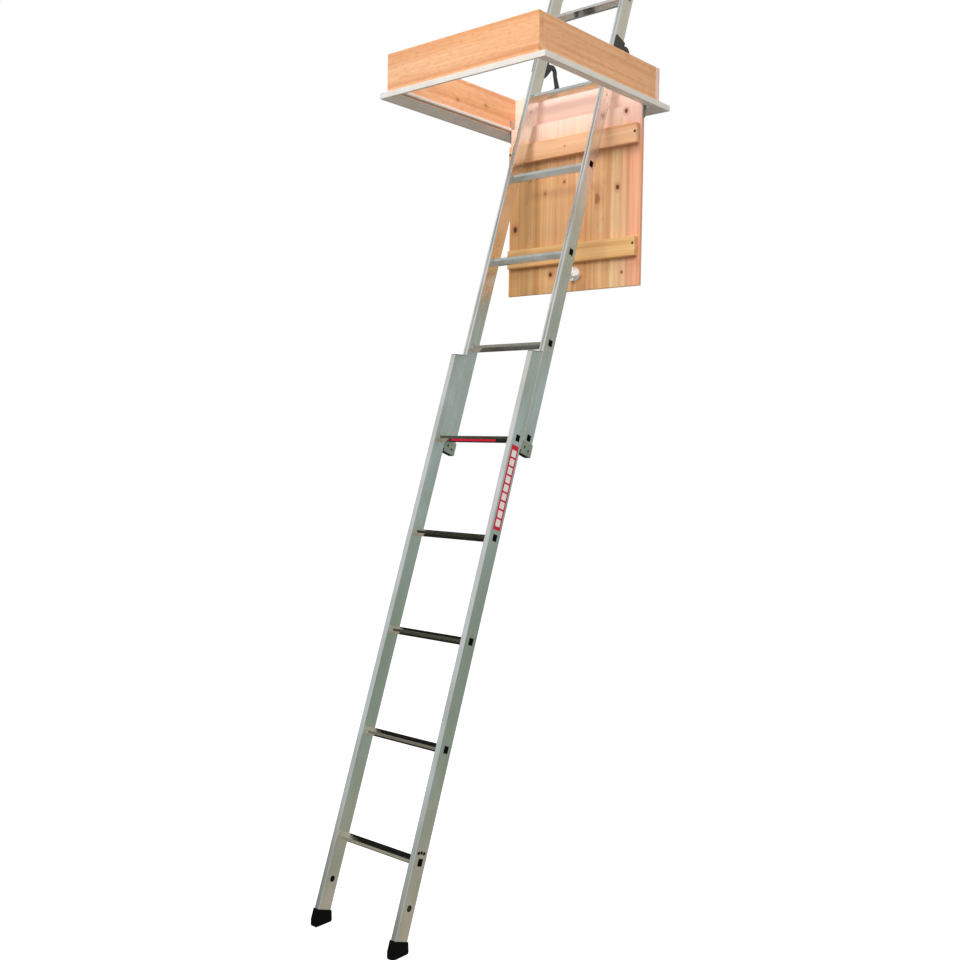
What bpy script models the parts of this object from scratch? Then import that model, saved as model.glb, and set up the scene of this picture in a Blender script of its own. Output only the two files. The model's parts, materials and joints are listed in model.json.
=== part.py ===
"""Two-section sliding loft ladder, with the ceiling hatch that it hangs in and folds into.

Metres, +Z up. The origin is on the ceiling line, at the middle of the top face that the back
architrave shows to the ceiling. The climber stands on the -Y side, and the trapdoor hangs from
the +Y side.

Two frames carry the moving pieces. Ladder pieces are drawn in the ladder frame, whose axes are
x (across), d (depth behind the lower section's front face) and s (up the stiles, from the
lowest rung). Trapdoor pieces are drawn in the door frame, whose axes are x, w (from the pivot
line towards the loft side of the closed door) and u (from the pivot line to the free edge).
"""

import math

import bmesh
import bpy
from mathutils import Matrix, Vector

# Ladder
RUNG_PITCH = 0.300
LEAN = math.radians(18.6)  # from vertical
LADDER_WIDTH = 0.3194
STILE_WIDTH = 0.0180
STILE_DEPTH = 0.0480
STILE_WALL = 0.0016
STILE_CORNER = 0.0022
SECTION_GAP = 0.0006  # between the two sections, front to back
LOWER_RUNGS = 5
UPPER_RUNGS = 6
FIRST_UPPER_RUNG = 1.217  # s of the upper section's lowest rung
LOWER_TOP = 1.4655  # s of the front edge of its level top end
UPPER_BOTTOM = 1.163
UPPER_TOP = 2.807
CEILING_CROSSING = 2.299  # s where the front face crosses the ceiling line
FRONT_AT_CEILING = 0.163  # from the front face there to the back lining's face

# Groove that the other section's tongue runs in
GROOVE_WIDTH = 0.0054
GROOVE_DEPTH = 0.0032

# Rungs: a hollow tread that lies level, and square tubes that carry its ends through the stiles.
# The tread's outline is measured level, from the middle of the tubes.
TENON_MIDDLE = 0.0245  # d
TENON_DEPTH = 0.0205
TENON_HEIGHT = 0.0225
TENON_WALL = 0.0013
TENON_COLLAR = 0.0010  # how far a tube's closed end stands out from the stile's inner face
TENON_WEB = 0.0015
TREAD_NOSE = 0.0140
TREAD_HEEL = 0.0200
TREAD_RISE = 0.0050
TREAD_DROP = 0.0145
NOSE_HEIGHT = 0.0080
TREAD_CENTRE = (0.0030, -0.0050)
HOLLOW_SCALE = 0.78
HOLLOW_END_WALL = 0.0020
VENT_RADIUS = 0.0040
RIB_HEIGHT = 0.0004
RIBS = 5
RIM_WIDTH = 0.0018
RIM_PROUD = 0.0007

# Feet and end fittings
FLOOR_Z = -2.420
STILE_FOOT = -0.2300
SHOE_TOP = -0.2036
SHOE_WALL = 0.0024
SHOE_LENGTH = 0.058
TOE_HEIGHT = 0.020
SOLE_CHAMFER = 0.003
SHOE_BEVEL = 0.0015
FOOT_HOLE_RADIUS = 0.0088
FOOT_HOLE_BELOW = 0.119
CAP_THICKNESS = 0.0030
PLUG_HEIGHT = 0.0120
PLUG_BEVEL = 0.0010
TONGUE_REACH = 0.0024
TONGUE_WIDTH = 0.0042
BRACKET_TOP = 1.2035
BRACKET_WALL = 0.0015
BRACKET_SETBACK = 0.0010  # from the upper section's front face and bottom end
CAP_BEVEL = 0.0006
TONGUE_ROOT = 0.0020  # how far a tongue reaches into its own cap or plug

# Hatch frame
OPENING_X = 0.539
OPENING_Y = 0.573
LINING_THICKNESS = 0.022
LINING_HEIGHT = 0.115
SIDE_STRIP = 0.049  # widths of the architrave's strips
BACK_STRIP = 0.042
FRONT_STRIP = 0.027
ARCHITRAVE_THICKNESS = 0.0174
REBATE_DEPTH = 0.0010  # step on the strips' top faces that the linings stand in
MITRE_GAP = 0.0002
BEAD_THICKNESS = 0.009
BEAD_HEIGHT = 0.010
BEAD_END_GAP = 0.001  # from the side beads to the open trapdoor

# Trapdoor, which turns on a pin at each side, a little in from its back edge
SIDE_GAP = 0.006
FRONT_GAP = 0.003
BACK_GAP = 0.0035
PIVOT_INSET = 0.0145
HINGE_PIN_Z = -0.0100
DOOR_OUTER_W = -0.0015
BOARD_THICKNESS = 0.012
BOARD_JOINTS = (0.131, 0.197, 0.353, 0.451)  # distances from the door's left edge
LEDGE_THICKNESS = 0.020
LEDGE_INSET = 0.008
LEDGE_SPANS = ((0.048, 0.111), (0.399, 0.461))  # u of each ledge
PLATE_THICKNESS = 0.0020
PLATE_HALF_WIDTH = 0.0080
PLATE_TOP = 0.040
PLATE_EYE = 0.0055
DOOR_PLATE_THICKNESS = 0.0028
DOOR_PLATE_LENGTH = 0.045
HINGE_PIN_RADIUS = 0.0020

# Catch on the trapdoor
CATCH_X = 0.016
CATCH_U = 0.4984
CATCH_RADIUS = 0.022
CATCH_BOSS_RADIUS = 0.0115
CATCH_BOSS_TOP = 0.0297
TONGUE_LENGTH = 0.033
TONGUE_THICKNESS = 0.0045
STRIKE_LIP_W = 0.0268
STRIKE_PLATE = 0.0015

# Pivot arms
PIVOT_BEHIND = 0.073  # behind the back lining's face
PIVOT_HEIGHT = 0.140  # above the ceiling line
ARM_THICKNESS = 0.006
ARM_WIDTH = 0.018
ARM_EYE_RADIUS = 0.012
ARM_CROWN_BEHIND = 0.030  # centre of the hook's bend, behind the arm's flat face
ARM_CROWN_INNER = 0.010
PIVOT_PIN_RADIUS = 0.005
PIN_HEAD_RADIUS = 0.008
LUG_THICKNESS = 0.005
LUG_LENGTH = 0.060
BASE_PLATE_THICKNESS = 0.004
BASE_PLATE_WIDTH = 0.048
SLIDE_SHOE_S = (2.505, 2.565)
SLIDE_SHOE_WALL = 0.003
SLIDE_SHOE_GAP = 0.0012
SLIDE_SHOE_LIP = 0.001

FIT = 0.0003  # between pieces that touch
ROUND_STEPS = 24

BACK_FACE_Y = -(LINING_THICKNESS + 2 * FIT + BACK_STRIP) / 2
FRONT_FACE_Y = BACK_FACE_Y - OPENING_Y
UPPER_FRONT = STILE_DEPTH + SECTION_GAP  # d of the upper section's front face
UPPER_BACK = UPPER_FRONT + STILE_DEPTH
STILE_X = (LADDER_WIDTH - STILE_WIDTH) / 2
LEVEL_RISE = STILE_DEPTH * math.tan(LEAN)  # of a level cut, from a stile's front to its back
HINGE_PIN_Y = BACK_FACE_Y - BACK_GAP - PIVOT_INSET
DOOR_INNER_W = DOOR_OUTER_W + BOARD_THICKNESS
DOOR_START_U = -PIVOT_INSET
DOOR_LENGTH = OPENING_Y - BACK_GAP - FRONT_GAP
DOOR_WIDTH = OPENING_X - 2 * SIDE_GAP
PIVOT_Y = BACK_FACE_Y + PIVOT_BEHIND
ARM_X = STILE_X - 0.004
LUG_X = ARM_X + ARM_THICKNESS + 2 * FIT


# Scene, materials and frames


def clear_scene():
    for obj in list(bpy.data.objects):
        bpy.data.objects.remove(obj)


def material(name, color, roughness, metallic=0.0):
    made = bpy.data.materials.new(name)
    made.use_nodes = True
    shader = made.node_tree.nodes["Principled BSDF"]
    shader.inputs["Base Color"].default_value = (*color, 1.0)
    shader.inputs["Roughness"].default_value = roughness
    shader.inputs["Metallic"].default_value = metallic
    return made


def empty(name, location, tilt=0.0, parent=None):
    made = bpy.data.objects.new(name, None)
    made.empty_display_size = 0.05
    bpy.context.collection.objects.link(made)
    made.parent = parent
    made.location = location
    made.rotation_euler = (tilt, 0.0, 0.0)
    return made


def place(name, mesh, finish, parent=None, location=(0.0, 0.0, 0.0)):
    """A named object of this mesh, in its parent's frame."""
    made = bpy.data.objects.new(name, mesh)
    bpy.context.collection.objects.link(made)
    if not mesh.materials:
        mesh.materials.append(finish)
    made.parent = parent
    made.location = location
    return made


# Shapes


def block(low, high, bevel=0.0):
    """A box between two corners, with its edges cut back by bevel."""
    shape = bmesh.new()
    bmesh.ops.create_cube(shape, size=1.0)
    size = [b - a for a, b in zip(low, high)]
    middle = [(a + b) / 2 for a, b in zip(low, high)]
    bmesh.ops.scale(shape, vec=size, verts=shape.verts)
    bmesh.ops.translate(shape, vec=middle, verts=shape.verts)
    if bevel:
        bmesh.ops.bevel(shape, geom=shape.edges, offset=bevel, segments=1, affect="EDGES")
    return shape


def prism(outline, axis, low, high):
    """An outline in the two other axes, in X, Y, Z order, drawn out along axis."""
    across = [i for i in range(3) if i != axis]
    shape = bmesh.new()
    rings = []
    for level in (low, high):
        ring = []
        for point in outline:
            place_at = [0.0, 0.0, 0.0]
            place_at[across[0]], place_at[across[1]] = point
            place_at[axis] = level
            ring.append(shape.verts.new(place_at))
        rings.append(ring)
    shape.faces.new(rings[0])
    shape.faces.new(rings[1])
    for i in range(len(outline)):
        j = (i + 1) % len(outline)
        shape.faces.new((rings[0][i], rings[0][j], rings[1][j], rings[1][i]))
    bmesh.ops.recalc_face_normals(shape, faces=shape.faces)
    return shape


def arc(centre, radius, start, end, steps):
    """Points on an arc, with its angles in degrees."""
    points = []
    for i in range(steps + 1):
        angle = math.radians(start + (end - start) * i / steps)
        points.append((centre[0] + radius * math.cos(angle), centre[1] + radius * math.sin(angle)))
    return points


def circle(centre, radius, steps=ROUND_STEPS):
    return arc(centre, radius, 0, 360 - 360 / steps, steps - 1)


def rod(axis, centre, radius, low, high, steps=ROUND_STEPS):
    return prism(circle(centre, radius, steps), axis, low, high)


def turned(profile, centre, steps=ROUND_STEPS):
    """A profile of (radius, height) points turned about the local Y axis through centre."""
    shape = bmesh.new()
    rings = []
    for radius, height in profile:
        ring = [
            shape.verts.new((centre[0] + x, height, centre[1] + z))
            for x, z in circle((0.0, 0.0), radius, steps)
        ]
        rings.append(ring)
    for low, high in zip(rings, rings[1:]):
        for i in range(steps):
            j = (i + 1) % steps
            shape.faces.new((low[i], low[j], high[j], high[i]))
    shape.faces.new(rings[0])
    shape.faces.new(rings[-1])
    bmesh.ops.recalc_face_normals(shape, faces=shape.faces)
    return shape


def mesh_of(shape, name):
    mesh = bpy.data.meshes.new(name)
    shape.to_mesh(mesh)
    shape.free()
    return mesh


def solid(name, base, joined=(), removed=(), smooth=False):
    """The mesh of base with the joined shapes added to it, then the removed ones cut from it."""
    if joined or removed:
        body = bpy.data.objects.new(name, mesh_of(base, name))
        bpy.context.collection.objects.link(body)
        helpers = []
        for operation, shapes in (("UNION", joined), ("DIFFERENCE", removed)):
            for shape in shapes:
                helper = bpy.data.objects.new(name + "_helper", mesh_of(shape, name + "_helper"))
                bpy.context.collection.objects.link(helper)
                step = body.modifiers.new(operation, "BOOLEAN")
                step.operation = operation
                step.object = helper
                helpers.append(helper)
        bpy.context.view_layer.update()
        graph = bpy.context.evaluated_depsgraph_get()
        mesh = bpy.data.meshes.new_from_object(body.evaluated_get(graph))
        for done in [body, *helpers]:
            bpy.data.objects.remove(done)
    else:
        mesh = mesh_of(base, name)
    if smooth:
        mesh.shade_smooth()
        mesh.set_sharp_from_angle(angle=math.radians(35))
    return mesh


# Ladder sections, in the ladder frame


def stile_outline(front, groove_at_back):
    """A rounded box section with a groove in its front or its back face."""
    half = STILE_WIDTH / 2
    back = front + STILE_DEPTH
    c = STILE_CORNER
    outline = []
    corners = ((half, back, 0), (-half, back, 90), (-half, front, 180), (half, front, 270))
    for x, d, start in corners:
        centre = (x - math.copysign(c, x), d - c if d == back else d + c)
        outline += arc(centre, c, start, start + 90, 3)
        if start == (0 if groove_at_back else 180):
            mouth, side = (back, 1) if groove_at_back else (front, -1)
            floor = mouth - side * GROOVE_DEPTH
            edge = side * GROOVE_WIDTH / 2
            outline += [(edge, mouth), (edge, floor), (-edge, floor), (-edge, mouth)]
    return outline


def stile(name, front, groove_at_back, low, high, rungs, extra_cuts=()):
    outer = prism(stile_outline(front, groove_at_back), 2, low, high)
    half = STILE_WIDTH / 2 - STILE_WALL
    hollow_front = front + STILE_WALL + (0 if groove_at_back else GROOVE_DEPTH)
    hollow_back = front + STILE_DEPTH - STILE_WALL - (GROOVE_DEPTH if groove_at_back else 0)
    cuts = [block((-half, hollow_front, low - 0.01), (half, hollow_back, high + 0.01))]
    middle = front + TENON_MIDDLE
    deep = TENON_DEPTH / 2 + FIT
    tall = TENON_HEIGHT / 2 + FIT
    for s in rungs:
        cuts.append(
            block(
                (-STILE_WIDTH, middle - deep, s - tall),
                (STILE_WIDTH, middle + deep, s + tall),
            )
        )
    return solid(name, outer, removed=[*cuts, *extra_cuts])


def above_level_top():
    """The space over a level plane through LOWER_TOP on the front face."""
    reach = 0.010
    slope = math.tan(LEAN)
    outline = [
        (-reach, LOWER_TOP - CAP_THICKNESS - reach * slope),
        (STILE_DEPTH + reach, LOWER_TOP - CAP_THICKNESS + LEVEL_RISE + reach * slope),
        (STILE_DEPTH + reach, LOWER_TOP + LEVEL_RISE + reach),
        (-reach, LOWER_TOP + LEVEL_RISE + reach),
    ]
    return prism(outline, 0, -STILE_WIDTH, STILE_WIDTH)


def levelled(outline):
    """Ladder (d, s) of level (y, z) points that are measured from the middle of a rung's tubes."""
    cos, sin = math.cos(LEAN), math.sin(LEAN)
    return [(TENON_MIDDLE + y * cos - z * sin, y * sin + z * cos) for y, z in outline]


def tread_outline(scale=1.0):
    """Level (y, z) outline of a tread without its ribs, scaled about its centre."""
    outline = [
        (-TREAD_NOSE, TREAD_RISE - RIB_HEIGHT),
        (TREAD_HEEL, TREAD_RISE - RIB_HEIGHT),
        (TREAD_HEEL, -TREAD_DROP + 0.005),
        (TREAD_HEEL - 0.005, -TREAD_DROP),
        (0.004, -TREAD_DROP),
        (-TREAD_NOSE, TREAD_RISE - NOSE_HEIGHT),
    ]
    y0, z0 = TREAD_CENTRE
    return [(y0 + (y - y0) * scale, z0 + (z - z0) * scale) for y, z in outline]


def ribbed_outline():
    """The tread's outline with ribs along its top."""
    step = (TREAD_NOSE + TREAD_HEEL) / (2 * RIBS - 1)
    floor, top = TREAD_RISE - RIB_HEIGHT, TREAD_RISE
    ribs = []
    for i in range(RIBS):
        start = -TREAD_NOSE + 2 * i * step
        ribs += [
            (start, floor),
            (start + step * 0.2, top),
            (start + step * 0.8, top),
            (start + step, floor),
        ]
    return ribs + tread_outline()[2:]


def rung(name):
    """A rung about its own middle, on x and on s, with d from its section's front face."""
    inner = LADDER_WIDTH / 2 - STILE_WIDTH
    deep, tall = TENON_DEPTH / 2, TENON_HEIGHT / 2
    end = LADDER_WIDTH / 2 + RIM_PROUD
    tread = prism(levelled(ribbed_outline()), 0, -inner + FIT, inner - FIT)
    hollow_end = inner - FIT - HOLLOW_END_WALL
    joined = []
    removed = [prism(levelled(tread_outline(HOLLOW_SCALE)), 0, -hollow_end, hollow_end)]
    vent = levelled([TREAD_CENTRE])[0]
    for side in (-1, 1):
        for start, half_d, half_s in (
            (inner - TENON_COLLAR, deep, tall),
            (LADDER_WIDTH / 2 + FIT / 2, deep + RIM_WIDTH, tall + RIM_WIDTH),
        ):
            low, high = sorted((side * start, side * end))
            joined.append(
                block((low, TENON_MIDDLE - half_d, -half_s), (high, TENON_MIDDLE + half_d, half_s))
            )
        deep_in, tall_in = deep - TENON_WALL, tall - TENON_WALL
        low, high = sorted((side * (inner + TENON_WEB), side * (end + 0.01)))
        removed.append(
            block((low, TENON_MIDDLE - deep_in, -tall_in), (high, TENON_MIDDLE + deep_in, tall_in))
        )
        low, high = sorted((side * (hollow_end - 0.001), side * (inner + TENON_WEB + 0.001)))
        removed.append(rod(0, vent, VENT_RADIUS, low, high, 8))
    return solid(name, tread, joined, removed)


def lower_cap(name):
    """Level cap on a lower stile's top end, whose tongue runs in the upper stile's groove."""
    half = STILE_WIDTH / 2
    thick = CAP_THICKNESS - FIT
    outline = [
        (0.0, LOWER_TOP - thick),
        (STILE_DEPTH, LOWER_TOP + LEVEL_RISE - thick),
        (STILE_DEPTH, LOWER_TOP + LEVEL_RISE),
        (0.0, LOWER_TOP),
    ]
    plate = prism(outline, 0, -half, half)
    bmesh.ops.bevel(plate, geom=plate.edges, offset=CAP_BEVEL, segments=1, affect="EDGES")
    back_top = LOWER_TOP + LEVEL_RISE - CAP_BEVEL
    reach = block(
        (-TONGUE_WIDTH / 2, STILE_DEPTH - TONGUE_ROOT, back_top - thick + 2 * CAP_BEVEL),
        (TONGUE_WIDTH / 2, UPPER_FRONT + TONGUE_REACH, back_top - CAP_BEVEL),
    )
    return solid(name, plate, [reach])


def upper_plug(name):
    """Plug under an upper stile's bottom end, whose tongue runs in the lower stile's groove."""
    high = UPPER_BOTTOM + PLUG_HEIGHT - FIT
    half = STILE_WIDTH / 2
    foot = block((-half, UPPER_FRONT, UPPER_BOTTOM), (half, UPPER_BACK, high), PLUG_BEVEL)
    reach = block(
        (-TONGUE_WIDTH / 2, STILE_DEPTH - TONGUE_REACH, UPPER_BOTTOM + 1.5 * PLUG_BEVEL),
        (TONGUE_WIDTH / 2, UPPER_FRONT + TONGUE_ROOT, high - 1.5 * PLUG_BEVEL),
    )
    return solid(name, foot, [reach])


def upper_cap(name):
    low = UPPER_TOP - CAP_THICKNESS + FIT
    half = STILE_WIDTH / 2
    return solid(name, block((-half, UPPER_FRONT, low), (half, UPPER_BACK, UPPER_TOP), CAP_BEVEL))


def guide_bracket(name):
    """Folded plate round the sides and the back of an upper stile's bottom end."""
    inside = STILE_WIDTH / 2 + FIT
    outside = inside + BRACKET_WALL
    front = UPPER_FRONT + BRACKET_SETBACK
    back = UPPER_BACK + FIT
    outline = [
        (-outside, front),
        (-inside, front),
        (-inside, back),
        (inside, back),
        (inside, front),
        (outside, front),
        (outside, back + BRACKET_WALL),
        (-outside, back + BRACKET_WALL),
    ]
    return solid(name, prism(outline, 2, UPPER_BOTTOM + BRACKET_SETBACK, BRACKET_TOP))


def ladder_point(d, s):
    """World (y, z) of a point in the ladder frame."""
    up = s - CEILING_CROSSING
    y = BACK_FACE_Y - FRONT_AT_CEILING + up * math.sin(LEAN) + d * math.cos(LEAN)
    return y, up * math.cos(LEAN) - d * math.sin(LEAN)


def ladder_frame_point(y, z):
    """Ladder (d, s) of a world point."""
    origin = ladder_point(0.0, 0.0)
    dy, dz = y - origin[0], z - origin[1]
    return (
        dy * math.cos(LEAN) - dz * math.sin(LEAN),
        dy * math.sin(LEAN) + dz * math.cos(LEAN),
    )


def shoe(name):
    """Rubber foot: a sleeve round the stile's end over a flat level sole."""
    front, back = -SHOE_WALL, STILE_DEPTH + SHOE_WALL
    top_front = ladder_point(front, SHOE_TOP)
    toe_z = FLOOR_Z + TOE_HEIGHT
    toe_y = top_front[0] - (top_front[1] - toe_z) * math.tan(LEAN)
    profile = [
        top_front,
        (toe_y, toe_z),
        (toe_y, FLOOR_Z + SOLE_CHAMFER),
        (toe_y + SOLE_CHAMFER, FLOOR_Z),
        (toe_y + SHOE_LENGTH, FLOOR_Z),
        (toe_y + SHOE_LENGTH + SOLE_CHAMFER, FLOOR_Z + 2 * SOLE_CHAMFER),
        ladder_point(back, SHOE_TOP),
    ]
    outline = [ladder_frame_point(*point) for point in profile]
    half = STILE_WIDTH / 2 + SHOE_WALL
    body = prism(outline, 0, -half, half)
    rims = [edge for edge in body.edges if edge.verts[0].co.x == edge.verts[1].co.x]
    bmesh.ops.bevel(body, geom=rims, offset=SHOE_BEVEL, segments=1, affect="EDGES")
    pocket_half = STILE_WIDTH / 2 + FIT
    pocket = block(
        (-pocket_half, -FIT, STILE_FOOT - FIT),
        (pocket_half, STILE_DEPTH + FIT, SHOE_TOP + 0.02),
    )
    return solid(name, body, removed=[pocket])


# Pivot arms, in the ladder frame


def arm_outline():
    """(d, s) outline of the hooked arm, from the slide shoe over and down to the pivot's eye."""
    eye = ladder_frame_point(PIVOT_Y, PIVOT_HEIGHT)
    start_d = UPPER_BACK + FIT + SLIDE_SHOE_WALL + FIT
    low_s, high_s = SLIDE_SHOE_S[0] + 0.012, SLIDE_SHOE_S[1] - 0.004
    crown = (start_d + ARM_CROWN_BEHIND, high_s - ARM_WIDTH * 0.75)
    outer = arc(crown, ARM_CROWN_INNER + ARM_WIDTH - 0.002, 95, 5, 7)
    inner = arc(crown, ARM_CROWN_INNER, 5, 110, 5)
    tip = arc(eye, ARM_EYE_RADIUS, 35, -185, 12)
    return [(start_d, low_s), (start_d, high_s), *outer, *tip, *inner, (start_d + 0.008, low_s)]


def pivot_arm(name):
    eye = ladder_frame_point(PIVOT_Y, PIVOT_HEIGHT)
    half = ARM_THICKNESS / 2
    hole = rod(0, eye, PIVOT_PIN_RADIUS + FIT, -half - 0.01, half + 0.01, 16)
    return solid(name, prism(arm_outline(), 0, -half, half), removed=[hole], smooth=True)


def slide_shoe(name, side):
    """Channel round the outer face and the back of an upper stile, which slides through it."""
    gap = STILE_WIDTH / 2 + SLIDE_SHOE_GAP
    wall = SLIDE_SHOE_WALL
    back = UPPER_BACK + FIT
    inner = -STILE_WIDTH / 2 - FIT
    outline = [
        (gap, UPPER_FRONT + 0.002),
        (gap + wall, UPPER_FRONT + 0.002),
        (gap + wall, back + wall),
        (inner - 0.002, back + wall),
        (inner - 0.002, back - SLIDE_SHOE_LIP),
        (inner, back - SLIDE_SHOE_LIP),
        (inner, back),
        (gap, back),
    ]
    outline = [(side * x, d) for x, d in outline]
    return solid(name, prism(outline, 2, *SLIDE_SHOE_S))


def pivot_bracket(name):
    """Base plate on the back lining's top edge, with an upright lug for the pivot pin."""
    base_z = LINING_HEIGHT + FIT
    plate_top = base_z + BASE_PLATE_THICKNESS
    front_y = BACK_FACE_Y + 0.002
    half = BASE_PLATE_WIDTH / 2
    plate = block((-half, front_y, base_z), (half, PIVOT_Y + LUG_LENGTH / 2 + 0.005, plate_top))
    lug = [
        (PIVOT_Y - LUG_LENGTH / 2, plate_top - BASE_PLATE_THICKNESS / 2),
        (PIVOT_Y + LUG_LENGTH / 2, plate_top - BASE_PLATE_THICKNESS / 2),
        *arc((PIVOT_Y, PIVOT_HEIGHT), ARM_EYE_RADIUS, 30, 150, 8),
    ]
    upright = prism(lug, 0, -LUG_THICKNESS / 2, LUG_THICKNESS / 2)
    hole = rod(0, (PIVOT_Y, PIVOT_HEIGHT), PIVOT_PIN_RADIUS + FIT, -0.02, 0.02, 16)
    return solid(name, plate, [upright], [hole])


# Hatch frame, in world axes


def architrave_outline(width):
    """(distance out from the opening, z) of a moulded strip, thin at its inner edge."""
    deep = ARCHITRAVE_THICKNESS
    lining = LINING_THICKNESS + 2 * FIT
    return [
        (0.0, -REBATE_DEPTH),
        (lining, -REBATE_DEPTH),
        (lining, 0.0),
        (width, 0.0),
        (width, -deep + 0.001),
        (width - 0.001, -deep),
        (width * 0.74, -deep),
        (width * 0.70, -deep + 0.0025),
        (width * 0.56, -deep + 0.0035),
        (width * 0.44, -deep + 0.0070),
        (width * 0.22, -deep + 0.0085),
        (width * 0.18, -deep + 0.0110),
        (width * 0.03, -deep + 0.0110),
        (0.0, -deep + 0.0118),
    ]


def architrave(name, half_inner, width, end_widths, turn, offset):
    """One mitred strip, built along X in front of the opening, then turned about Z.

    end_widths are the widths of the strips that it meets at its -X and +X ends.
    """
    shape = bmesh.new()
    rings = []
    for side, end_width in zip((-1, 1), end_widths):
        rings.append(
            [
                shape.verts.new((side * (half_inner + w * end_width / width - MITRE_GAP), -w, z))
                for w, z in architrave_outline(width)
            ]
        )
    count = len(rings[0])
    shape.faces.new(rings[0])
    shape.faces.new(rings[1])
    for i in range(count):
        j = (i + 1) % count
        shape.faces.new((rings[0][i], rings[0][j], rings[1][j], rings[1][i]))
    bmesh.ops.recalc_face_normals(shape, faces=shape.faces)
    turned_by = Matrix.Rotation(math.radians(turn), 4, "Z")
    bmesh.ops.transform(shape, matrix=Matrix.Translation(offset) @ turned_by, verts=shape.verts)
    return solid(name, shape)


def hatch_pivot_plate(name, side):
    """Steel strip down a side lining's face, with an eye for the trapdoor's pin."""
    pin = (HINGE_PIN_Y, HINGE_PIN_Z)
    half = PLATE_HALF_WIDTH
    outline = [
        (pin[0] - half, PLATE_TOP),
        (pin[0] - half, pin[1] + half),
        *arc(pin, PLATE_EYE, 180, 360, 10),
        (pin[0] + half, pin[1] + half),
        (pin[0] + half, PLATE_TOP),
    ]
    face = OPENING_X / 2 - FIT
    low, high = sorted((side * face, side * (face - PLATE_THICKNESS)))
    hole = rod(0, pin, HINGE_PIN_RADIUS + FIT, low - 0.01, high + 0.01, 16)
    return solid(name, prism(outline, 0, low, high), removed=[hole])


def door_pivot_plate(name, side):
    """Steel strip on the trapdoor's side edge, round the pin, in the door frame."""
    outline = [
        (DOOR_INNER_W, DOOR_START_U),
        (DOOR_INNER_W, DOOR_START_U + DOOR_PLATE_LENGTH),
        (DOOR_OUTER_W, DOOR_START_U + DOOR_PLATE_LENGTH),
        (DOOR_OUTER_W, PLATE_EYE * 2),
        *arc((0.0, 0.0), PLATE_EYE, 120, 240, 8),
        (DOOR_OUTER_W, DOOR_START_U),
    ]
    face = DOOR_WIDTH / 2 + FIT
    low, high = sorted((side * face, side * (face + DOOR_PLATE_THICKNESS)))
    hole = rod(0, (0.0, 0.0), HINGE_PIN_RADIUS + FIT, low - 0.01, high + 0.01, 16)
    return solid(name, prism(outline, 0, low, high), removed=[hole])


# Trapdoor and its catch, in the door frame


def catch_body(name):
    """Round base of the catch, with the boss that its tongue turns on."""
    low = DOOR_INNER_W + FIT
    profile = [
        (CATCH_RADIUS, low),
        (CATCH_RADIUS, low + 0.003),
        (CATCH_RADIUS - 0.003, low + 0.006),
        (CATCH_BOSS_RADIUS, low + 0.008),
        (CATCH_BOSS_RADIUS, CATCH_BOSS_TOP),
    ]
    return solid(name, turned(profile, (CATCH_X, CATCH_U)), smooth=True)


def catch_tongue(name):
    """Turning tongue on the boss. It points along the free edge when it is off its strike."""
    low = CATCH_BOSS_TOP + FIT
    mid = low + TONGUE_THICKNESS
    outline = [
        *arc((CATCH_X, CATCH_U), CATCH_BOSS_RADIUS, 90, 270, 10),
        (CATCH_X + TONGUE_LENGTH - 0.007, CATCH_U - 0.008),
        (CATCH_X + TONGUE_LENGTH, CATCH_U - 0.004),
        (CATCH_X + TONGUE_LENGTH, CATCH_U + 0.004),
        (CATCH_X + TONGUE_LENGTH - 0.007, CATCH_U + 0.008),
    ]
    bar = prism(outline, 1, low, mid)
    knob = turned([(0.009, mid - 0.001), (0.009, mid + 0.006), (0.007, mid + 0.008)], (CATCH_X, CATCH_U))
    return solid(name, bar, [knob], smooth=True)


def strike(name):
    """Bent plate over the front stop bead, drawn in world axes where the closed tongue meets it."""
    lip_z = HINGE_PIN_Z + STRIKE_LIP_W
    front = FRONT_FACE_Y + FIT
    outline = [
        (front, lip_z),
        (front + 0.029, lip_z),
        (front + 0.029, lip_z + STRIKE_PLATE),
        (front + STRIKE_PLATE, lip_z + STRIKE_PLATE),
        (front + STRIKE_PLATE, lip_z + 0.028),
        (front, lip_z + 0.028),
    ]
    return solid(name, prism(outline, 0, CATCH_X - 0.020, CATCH_X + 0.020))


# Assembly


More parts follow.
